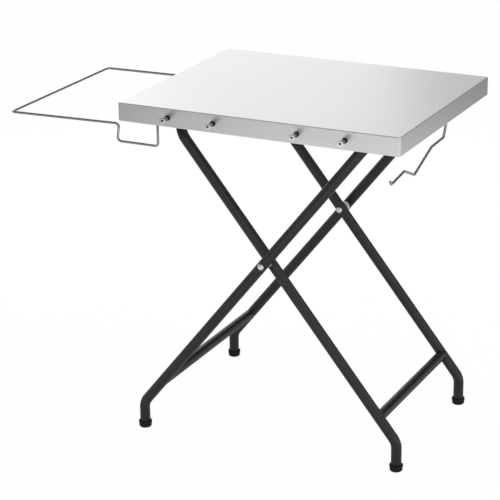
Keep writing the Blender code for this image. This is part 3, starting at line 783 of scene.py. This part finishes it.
def bent_tube(name, path, radius, sides, finish, closed=False, girths=None):
    """A tube along a path in the table's axes."""
    places = [at(*place) for place in path]
    return run_tree(name, BENT_TUBE, path_shape(name, places, closed, girths),
                    {"Radius": radius, "Sides": sides, "Finish": finish}, sharp=40)


def leg_point(side, distance, y):
    """A point this far up a leg from the X pivot; side is +1 on the leg that rises to the right."""
    return Vector((side * distance * cos(LEG_ANGLE), y, PIVOT_HEIGHT + distance * sin(LEG_ANGLE)))


def foot_bend(side, reach, y):
    """The corner where a leg's slope meets its upright foot."""
    return Vector((-side * reach, y, PIVOT_HEIGHT - reach * tan(LEG_ANGLE)))


def weld_beads(name, middle, leg_side, half, bar_radius):
    """The bead round each end of a bar on the round of a leg, with a ripple for each step of the torch."""
    along = Vector((leg_side * cos(LEG_ANGLE), 0, sin(LEG_ANGLE)))
    across = Vector((-leg_side * sin(LEG_ANGLE), 0, cos(LEG_ANGLE)))
    turns = [2 * pi * k / BEAD_STEPS for k in range(BEAD_STEPS)]
    ripples = round(2 * pi * bar_radius / BEAD_PITCH)
    girths = [BEAD_LEAST + BEAD_SWELL * abs(cos(a)) + BEAD_RIPPLE * sin(ripples * a) for a in turns]
    made = []
    for where, side in SIDES.items():
        path = []
        for turn in turns:
            rise = BEAD_TUCK * bar_radius * sin(turn)
            sink = sqrt(LEG_RADIUS ** 2 - rise ** 2)
            point = middle + along * (bar_radius * cos(turn)) + across * rise
            path.append((point.x, side * (half - sink), point.z))
        made.append(bent_tube(f"{name}_{where}", path, BEAD_RADIUS, BEAD_SIDES, black_coat, True, girths))
    return made


BENT_TUBE = tube_tree()

black_coat, tree, shader = new_finish("black_powder_coat", roughness=0.40, metallic=0.0, specular=0.5)
tint(tree, shader, mottle(tree, "Object", 35.0), (0.0095, 0.0095, 0.0098), (0.0125, 0.0125, 0.0128))
gloss(tree, shader, mottle(tree, "Object", 70.0, detail=3.0), low=0.36, high=0.44)
relief(tree, shader, mottle(tree, "Object", 1100.0, detail=1.0), strength=0.12, distance=0.0003)

for where, side in SIDES.items():
    y = side * OUTER_HALF
    corners = [leg_point(1, LEG_UP + LEG_OVERRUN, y), foot_bend(1, OUTER_FOOT, y),
               Vector((-OUTER_FOOT, y, CAP_PAD + SEAT))]
    leg_path = bent_path(corners, FOOT_BEND_RADIUS, FOOT_BEND_STEPS)
    leg = bent_tube(f"outer_leg_tube_{where}", leg_path, LEG_RADIUS, LEG_SIDES, black_coat)
    hand_over(leg, "outer_frame", "black_tube", f"outer_leg_{where}")


def crossbar(name, node, body, leg_side, foot, up, half):
    """A bar welded between two legs, this far up them from their foot bends."""
    distance = up - foot / cos(LEG_ANGLE)
    ends = [leg_point(leg_side, distance, side * half) for side in SIDES.values()]
    bar = bent_tube(name, ends, LEG_RADIUS, LEG_SIDES, black_coat)
    hand_over(bar, body, "black_tube", node)
    for bead in weld_beads(f"{name}_weld", leg_point(leg_side, distance, 0), leg_side, half, LEG_RADIUS):
        hand_over(bead, body, "black_tube")


crossbar("outer_bar", "outer_crossbar", "outer_frame", 1, OUTER_FOOT, OUTER_CROSSBAR_UP, OUTER_HALF)

hinge_place = Vector((HINGE_REACH, 0, BAR_HEIGHT))
rod_ends = [hinge_place + Vector((0, side * OUTER_HALF, 0)) for side in SIDES.values()]
rod = bent_tube("hinge_bar", rod_ends, ROD_RADIUS, ROD_SIDES, black_coat)
hand_over(rod, "outer_frame", "black_tube", "hinge_rod")
for bead in weld_beads("hinge_weld", hinge_place, 1, OUTER_HALF, ROD_RADIUS):
    hand_over(bead, "outer_frame", "black_tube")

# Tube plugs
# A moulded plug of black nylon with a low dome closes the open top end of each outer leg. It is pushed
# into the tube up to its rim.
PLUG_RIM = 0.0012
PLUG_DEPTH = 0.007

plug_neck = LEG_RADIUS - 2 * PLUG_RIM
plug_profile = soften([(0, 2 * PLUG_RIM), (0.5 * LEG_RADIUS, 1.8 * PLUG_RIM),
                       (LEG_RADIUS - 0.5 * PLUG_RIM, PLUG_RIM), (LEG_RADIUS, 0.5 * PLUG_RIM),
                       (LEG_RADIUS, SEAT), (plug_neck, SEAT), (plug_neck, -PLUG_DEPTH), (0, -PLUG_DEPTH)],
                      PLUG_RIM)
leg_way = (cos(LEG_ANGLE), 0, sin(LEG_ANGLE))
leg_tops = [leg_point(1, LEG_UP + LEG_OVERRUN, side * OUTER_HALF) for side in SIDES.values()]
plug_places = [(at(*leg_top), leg_way) for leg_top in leg_tops]
plugs = set_in_place("leg_plugs", turned_shape("plug", plug_profile), plug_places, black_moulding)
hand_over(plugs, "outer_frame", "black_nylon", "tube_plug_front", "tube_plug_back")

# Foot caps
# A moulded black rubber cup is pushed over each foot. Its rim is wider than its body, with a groove under
# it, and its base is rounded off to a flat pad.
CAP_HEIGHT = 0.0165
CAP_SKIRT = 0.0034
CAP_GROOVE = 0.0011
CAP_EASE = 0.0012
CAP_LEVELS = (0.68, 0.62, 0.54, 0.48, 0.22, 0.06)
CAP_ROUND = 0.45

rim_low, groove_top, groove_low, body_top, body_low, base_top = (share * CAP_HEIGHT for share in CAP_LEVELS)
cap_bore = LEG_RADIUS + SEAT
cap_rim = cap_bore + CAP_SKIRT
cap_body = cap_rim - CAP_SKIRT / 4
cap_groove = cap_rim - CAP_GROOVE
cap_profile = soften([(0, CAP_PAD), (cap_bore, CAP_PAD), (cap_bore, CAP_HEIGHT), (cap_rim, CAP_HEIGHT),
                      (cap_rim, rim_low), (cap_groove, groove_top), (cap_groove, groove_low),
                      (cap_body, body_top), (cap_body, body_low),
                      (cap_body - CAP_ROUND * CAP_SKIRT, base_top), (cap_body - CAP_SKIRT, 0), (0, 0)],
                     CAP_EASE)
cap_shape = turned_shape("cap", cap_profile, sides=48)

black_rubber, tree, shader = new_finish("moulded_rubber", roughness=0.7, metallic=0.0, specular=0.3)
tint(tree, shader, mottle(tree, "Object", 90.0), (0.006, 0.006, 0.006), (0.011, 0.011, 0.011))
gloss(tree, shader, mottle(tree, "Object", 200.0), low=0.58, high=0.74)
relief(tree, shader, mottle(tree, "Object", 2600.0), strength=0.2, distance=0.0002)


def foot_caps(body, kind, x, half):
    """The two caps of one frame."""
    places = [(at(x, side * half, 0), UP) for side in SIDES.values()]
    made = set_in_place(f"{kind}_foot_caps", cap_shape, places, black_rubber)
    hand_over(made, body, "black_rubber", f"foot_cap_{kind}_front", f"foot_cap_{kind}_back")


foot_caps("outer_frame", "outer", -OUTER_FOOT, OUTER_HALF)

# Inner leg frame
# One long tube runs up from the front foot, across under the tray as the bar that the clips hold, and down
# to the back foot. A crossbar near the feet is welded in, and the frame is powder coated black.
INNER_FOOT_BEND = 0.0706
INNER_CROSSBAR_UP = 0.072
TOP_BEND_RADIUS = 0.045
TOP_BEND_STEPS = 20
INNER_FOOT = (PIVOT_HEIGHT - INNER_FOOT_BEND) / tan(LEG_ANGLE)

legs = []
tops = []
for side in SIDES.values():
    y = side * INNER_HALF
    tops.append(leg_point(-1, LEG_UP, y))
    corners = [Vector((INNER_FOOT, y, CAP_PAD + SEAT)), foot_bend(-1, INNER_FOOT, y), tops[-1]]
    legs.append(bent_path(corners, FOOT_BEND_RADIUS, FOOT_BEND_STEPS)[:-1])
front_leg, back_leg = legs
across = bent_path([front_leg[-1], *tops, back_leg[-1]], TOP_BEND_RADIUS, TOP_BEND_STEPS)[1:-1]
bow_path = front_leg + across + back_leg[::-1]
inner_tube = bent_tube("inner_frame_bow", bow_path, LEG_RADIUS, LEG_SIDES, black_coat)
hand_over(inner_tube, "inner_frame", "black_tube", "inner_frame_tube")
crossbar("inner_bar", "inner_crossbar", "inner_frame", -1, INNER_FOOT, INNER_CROSSBAR_UP, INNER_HALF)
foot_caps("inner_frame", "inner", INNER_FOOT, INNER_HALF)

# X pivots
# A domed bolt passes through both tubes at each crossing, with a thick white nylon spacer between the
# tubes and a domed nut on the inside, so that the frames turn freely on each other.
BOLT_RADIUS = 0.004
HEAD_RADIUS = 0.00775
HEAD_HEIGHT = 0.0045
HEAD_EDGE = 0.0008
NUT_COLLAR = 0.003
SPACER_RADIUS = 0.012
SPACER_EASE = 0.0009
DOME_TURNS = range(0, 91, 9)

outside = OUTER_HALF + LEG_RADIUS
inside = INNER_HALF - LEG_RADIUS


def crown(base):
    """A low dome on a short upright edge."""
    rise = HEAD_HEIGHT - HEAD_EDGE
    turns = [radians(a) for a in DOME_TURNS]
    return [(HEAD_RADIUS * sin(a), base + HEAD_EDGE + rise * cos(a)) for a in turns]


def pivot_places(reach, way):
    """The front and the back pivot this far from the middle, facing outwards (1) or inwards (-1)."""
    return [(at(0, side * reach, PIVOT_HEIGHT), (0, side * way, 0)) for side in SIDES.values()]


bright_steel, tree, shader = turned_steel("bright_bolt_steel")
tint(tree, shader, mottle(tree, "Object", 150.0), (0.70, 0.70, 0.70), (0.78, 0.78, 0.78))

bolt_tip = inside - outside - NUT_COLLAR
bolt_profile = crown(SEAT)
bolt_profile += [(HEAD_RADIUS, SEAT), (BOLT_RADIUS, SEAT), (BOLT_RADIUS, bolt_tip), (0, bolt_tip)]
bolt_shape = turned_shape("bolt", bolt_profile)
bolts = set_in_place("pivot_bolts", bolt_shape, pivot_places(outside, 1), bright_steel)
hand_over(bolts, "outer_frame", "bright_steel", "pivot_bolt_front", "pivot_bolt_back")

nut_bore = BOLT_RADIUS + SEAT
nut_floor = NUT_COLLAR + SEAT
nut_profile = crown(NUT_COLLAR - HEAD_EDGE)
nut_profile += [(HEAD_RADIUS, SEAT), (nut_bore, SEAT), (nut_bore, nut_floor), (0, nut_floor)]
nut_shape = turned_shape("domed_nut", nut_profile)
nuts = set_in_place("pivot_nuts", nut_shape, pivot_places(inside, -1), bright_steel)
hand_over(nuts, "outer_frame", "bright_steel", "pivot_nut_front", "pivot_nut_back")

white_nylon, tree, shader = new_finish("white_nylon", roughness=0.45, metallic=0.0, specular=0.45)
tint(tree, shader, mottle(tree, "Object", 80.0), (0.86, 0.86, 0.85), (0.91, 0.91, 0.90))
gloss(tree, shader, mottle(tree, "Object", 150.0), low=0.38, high=0.5)
relief(tree, shader, mottle(tree, "Object", 1500.0), strength=0.08, distance=0.0002)

half = SPACER_THICKNESS / 2 - SEAT
spacer_bore = BOLT_RADIUS + SOCKET_PLAY
middle_radius = (spacer_bore + SPACER_RADIUS) / 2
spacer_profile = soften([(middle_radius, half), (SPACER_RADIUS, half), (SPACER_RADIUS, -half),
                         (spacer_bore, -half), (spacer_bore, half), (middle_radius, half)], SPACER_EASE)
spacer_shape = turned_shape("spacer", spacer_profile, sides=48)
spacers = set_in_place("pivot_spacers", spacer_shape, pivot_places(ARM_HALF, 1), white_nylon)
hand_over(spacers, "outer_frame", "white_nylon", "pivot_spacer_front", "pivot_spacer_back")

# Bag holder
# One plated wire is bent to a wide loop that holds a rubbish bag open at the left. Each arm dips under the
# tray's left side and turns up into its socket.
BAG_REACH = 0.328
BAG_ARM_DROP = 0.069
BAG_SAG = 0.0045
BAG_SPLAY = 0.0045
BAG_DIP_DROP = 0.112
BAG_DIP_OUT = 0.0375
BAG_DIP_LEAN = 0.006
BAG_BEND_RADIUS = 0.009
BAG_BEND_STEPS = 10
WIRE_SIDES = 20
WIRE_TIP = (0.25, 0.62, 0.86, 1.0)

plated_wire, tree, shader = new_finish("plated_wire", roughness=0.16, metallic=1.0)
tint(tree, shader, mottle(tree, "Object", 60.0), (0.33, 0.33, 0.33), (0.41, 0.41, 0.41))
gloss(tree, shader, mottle(tree, "Object", 240.0), low=0.12, high=0.20)
relief(tree, shader, mottle(tree, "Object", 1200.0), strength=0.04, distance=0.0001)


def bent_wire(name, path):
    """A wire with rounded ends along a path in the table's axes."""
    tips = len(WIRE_TIP)
    ends = []
    for end, after in ((path[0], path[1]), (path[-1], path[-2])):
        way = (after - end).normalized()
        ends.append([end + way * WIRE_RADIUS * (1 - sqrt(1 - girth ** 2)) for girth in WIRE_TIP])
    whole = ends[0] + path[1:-1] + ends[1][::-1]
    girths = [*WIRE_TIP] + [1.0] * (len(whole) - 2 * tips) + [*WIRE_TIP[::-1]]
    return bent_tube(name, whole, WIRE_RADIUS, WIRE_SIDES, plated_wire, False, girths)


wire_top = UNDERSIDE - 2 * SOCKET_BASE - SEAT
dip = TOP - BAG_DIP_DROP
arm = TOP - BAG_ARM_DROP
rise = -LENGTH / 2 - BAG_DIP_OUT
corners = [Vector((x, -ARM_HALF, z)) for x, z in ((BAG_END, wire_top), (BAG_END, dip), (rise, dip),
                                                  (rise + BAG_DIP_LEAN, arm))]
corners.append(Vector((-LENGTH / 2 - BAG_REACH, -ARM_HALF - BAG_SPLAY, arm - BAG_SAG)))
corners += [Vector((x, -y, z)) for x, y, z in reversed(corners)]
bag_loop = bent_wire("bag_loop", bent_path(corners, BAG_BEND_RADIUS, BAG_BEND_STEPS))
hand_over(bag_loop, "bag_holder", "wire_steel", "bag_holder")

# Roll holder
# One plated wire turns in its socket under the right side. It is kinked down and forwards to carry a paper
# roll and ends in a small upturned hook.
ROLL_STUB_DROP = 0.058
ROLL_BENDS = ((0.0132, 0.0848), (0.0898, 0.0869), (0.1931, 0.1231),
              (0.2535, 0.0973), (0.3276, 0.1058), (0.3358, 0.0955))
ROLL_BEND_RADIUS = 0.0048
ROLL_BEND_STEPS = 8

roll_x, roll_y = ROLL_END
corners = [Vector((roll_x, roll_y, wire_top)), Vector((roll_x, roll_y, TOP - ROLL_STUB_DROP))]
corners += [Vector((roll_x, roll_y - run, TOP - drop)) for run, drop in ROLL_BENDS]
roll_wire = bent_wire("roll_wire", bent_path(corners, ROLL_BEND_RADIUS, ROLL_BEND_STEPS))
hand_over(roll_wire, "paper_holder", "wire_steel", "paper_holder")

# Studio
# A wide floor of white paper, whose glow in reflections is painted with pools of light in front of the table
# and round it and with shade under it, a pale room with a dark gap at the back and a dark flag overhead, and
# five soft boxes.
FLOOR_HALF = 30.0
FLOOR_COLOUR = (0.86, 0.86, 0.86, 1)
FLOOR_SHADOW = 0.12
FLOOR_WHITE = 1.07
FLOOR_DARK = 0.14
FRONT_POOL = 0.45
FRONT_POOL_REACH = (2.15, 2.9)
FRONT_POOL_PLACE = (0.6, -3.0, 0.0)
FRONT_POOL_SHAPE = (1.5, 0.6, 1.0)
ROUND_POOL = 0.77
ROUND_POOL_REACH = (1.9, 3.7)
ROUND_POOL_PLACE = (0.80, -0.30, 0.0)
SHADE_REACH = (0.45, 1.6)
ROOM_WHITE = 1.0
ROOM_DARK = 0.048
ROOM_WALLS = 0.672
ROOM_CEILING = 0.432
ROOM_WALL_TOP = (0.45, 0.80)
ROOM_GAP = (0.25, 0.81, 0.53)
ROOM_GAP_REACH = (0.945, 0.855)
ROOM_FLAG = (-0.43, -0.33, 0.84)
ROOM_FLAG_REACH = (0.93, 0.74)
ROOM_COLOUR = (1, 1, 1, 1)
ROOM_FILL = 0.44
# Each box: its place, the height over the table's middle that it faces, its width and height, and its level.
SOFT_BOXES = {"back_left_box": ((-1.35, 1.75, 1.40), 0.60, 2.1, 1.8, 0.52),
              "left_box": ((-2.1, 1.5, 1.6), 0.60, 1.8, 1.8, 0.35),
              "right_box": ((2.65, 0.3, 2.45), 0.60, 1.3, 1.7, 1.2),
              "low_right_box": ((2.4, -0.35, 0.52), 0.45, 1.5, 0.5, 1.2),
              "camera_side_box": ((2.4, -4.4, 2.4), 0.60, 2.6, 2.2, 0.8)}

floor_shape = bpy.data.meshes.new("floor")
floor_shape.from_pydata([(-FLOOR_HALF, -FLOOR_HALF, 0), (FLOOR_HALF, -FLOOR_HALF, 0),
                         (FLOOR_HALF, FLOOR_HALF, 0), (-FLOOR_HALF, FLOOR_HALF, 0)], [], [(0, 1, 2, 3)])
floor = add_piece("floor", floor_shape)


def seen_rays(tree):
    """1 for what the camera, a reflection or a clear piece looks at, and 1 for the camera alone."""
    path = add_node(tree, "ShaderNodeLightPath").outputs
    either = sums(tree, "MAXIMUM", path["Is Glossy Ray"], path["Is Transmission Ray"])
    return sums(tree, "MAXIMUM", path["Is Camera Ray"], either), path["Is Camera Ray"]


def vector_sums(tree, operation, *values):
    """One step of arithmetic on vectors."""
    made = add_node(tree, "ShaderNodeVectorMath", dict(enumerate(values)), operation=operation)
    return made.outputs["Value" if operation in ("LENGTH", "DOT_PRODUCT") else "Vector"]


def pool(tree, place, middle, reach, shape=(1.0, 1.0, 1.0)):
    """1 round a point of the floor, which fades to 0 away from it."""
    offset = vector_sums(tree, "SUBTRACT", place, middle)
    return ramp(tree, vector_sums(tree, "LENGTH", vector_sums(tree, "MULTIPLY", offset, shape)), reach)


paper = bpy.data.materials.new("floor_paper")
paper.use_nodes = True
tree = paper.node_tree
tree.nodes.clear()
seen, camera_only = seen_rays(tree)
matt = add_node(tree, "ShaderNodeBsdfDiffuse", {"Color": FLOOR_COLOUR}).outputs[0]
place = add_node(tree, "ShaderNodeTexCoord").outputs["Object"]
# The floor's tone in reflections is painted: painted pools of light in front of and round the table, and
# painted shade under it.
open_floor = sums(tree, "SUBTRACT", 1.0, pool(tree, place, at(0, 0, 0), SHADE_REACH))
round_light = sums(tree, "MULTIPLY", pool(tree, place, ROUND_POOL_PLACE, ROUND_POOL_REACH), open_floor)
front_light = pool(tree, place, FRONT_POOL_PLACE, FRONT_POOL_REACH, FRONT_POOL_SHAPE)
light = sums(tree, "MULTIPLY_ADD", front_light, FRONT_POOL, FLOOR_DARK)
light = sums(tree, "MULTIPLY_ADD", round_light, ROUND_POOL, light)
tone = between(tree, camera_only, light, FLOOR_WHITE)
white = add_node(tree, "ShaderNodeEmission", {"Strength": tone}).outputs[0]
shown = add_node(tree, "ShaderNodeMixShader", {0: FLOOR_SHADOW, 1: white, 2: matt}).outputs[0]
whole = add_node(tree, "ShaderNodeMixShader", {0: seen, 1: matt, 2: shown}).outputs[0]
add_node(tree, "ShaderNodeOutputMaterial", {"Surface": whole})
floor.data.materials.append(paper)

world = bpy.data.worlds.new("room")
bpy.context.scene.world = world
world.use_nodes = True
tree = world.node_tree
tree.nodes.clear()
seen, camera_only = seen_rays(tree)
way = add_node(tree, "ShaderNodeTexCoord").outputs["Generated"]
height = add_node(tree, "ShaderNodeSeparateXYZ", {0: way}).outputs["Z"]
walls = ramp(tree, height, ROOM_WALL_TOP, ROOM_WALLS, ROOM_CEILING)
for dark_way, reach in ((ROOM_GAP, ROOM_GAP_REACH), (ROOM_FLAG, ROOM_FLAG_REACH)):
    towards = vector_sums(tree, "DOT_PRODUCT", way, dark_way)
    walls = sums(tree, "MULTIPLY", walls, ramp(tree, towards, reach, 0.0, 1.0))
walls = sums(tree, "ADD", walls, ROOM_DARK)
tone = between(tree, camera_only, walls, ROOM_WHITE)
level = between(tree, seen, ROOM_FILL, tone)
room = add_node(tree, "ShaderNodeBackground", {"Color": ROOM_COLOUR, "Strength": level}).outputs[0]
add_node(tree, "ShaderNodeOutputWorld", {"Surface": room})

for name, (place, aim, width, height, radiance) in SOFT_BOXES.items():
    lamp = bpy.data.lights.new(name, "AREA")
    lamp.shape = "RECTANGLE"
    lamp.size = width
    lamp.size_y = height
    lamp.energy = radiance * pi * width * height
    box = add_piece(name, lamp)
    box.location = place
    box.rotation_euler = (at(0, 0, aim) - Vector(place)).to_track_quat("-Z", "Y").to_euler()

# Camera
# It stands in front of the table at the right, well above the worktop, and looks down on it with a long
# lens, rolled by less than a degree.
EYE = Vector((1.9515, -3.8528, 1.9852))
AZIMUTH = radians(26.656)
ELEVATION = radians(20.047)
ROLL = radians(-0.732)
LENS = 134.73
SENSOR = 36.0
FARTHEST = 100.0

back = Vector((sin(AZIMUTH) * cos(ELEVATION), -cos(AZIMUTH) * cos(ELEVATION), sin(ELEVATION)))
level_right = Vector((cos(AZIMUTH), sin(AZIMUTH), 0))
level_up = back.cross(level_right)
right = cos(ROLL) * level_right + sin(ROLL) * level_up
up = -sin(ROLL) * level_right + cos(ROLL) * level_up
view = bpy.data.cameras.new("camera")
view.lens = LENS
view.sensor_width = SENSOR
view.clip_end = FARTHEST
camera = add_piece("camera", view)
camera.matrix_world = Matrix.Translation(EYE) @ Matrix((right, up, back)).transposed().to_4x4()
bpy.context.scene.camera = camera
bpy.context.scene.view_settings.view_transform = "Standard"
